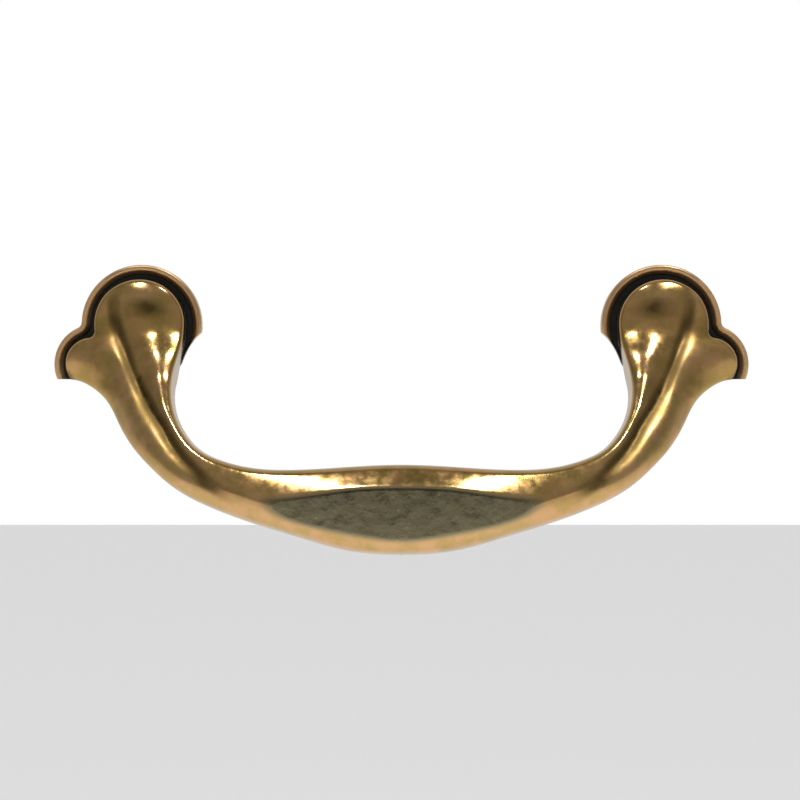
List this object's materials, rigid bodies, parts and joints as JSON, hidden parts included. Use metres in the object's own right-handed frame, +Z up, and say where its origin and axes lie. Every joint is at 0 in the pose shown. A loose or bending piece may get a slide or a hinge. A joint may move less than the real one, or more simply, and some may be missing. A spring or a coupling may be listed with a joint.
{
  "type": "bail pull",
  "caption": "Cast drawer pull with a bowed grip that carries a leaf-shaped facet and runs at each end into a lobed, grooved foot plate.",
  "frame": {"origin": "midway between the two screw holes, on the flat back of the feet", "axes": "+X to the right along the screw line, +Z up, -Y out of the drawer face towards the hand"},
  "size_m": [0.1018, 0.0244, 0.0413],
  "materials": {
    "antique_brass": "relieved antique brass, satin, dark in the groove"
  },
  "bodies": {
    "root": {"handle": "antique_brass"}
  },
  "joints": []
}
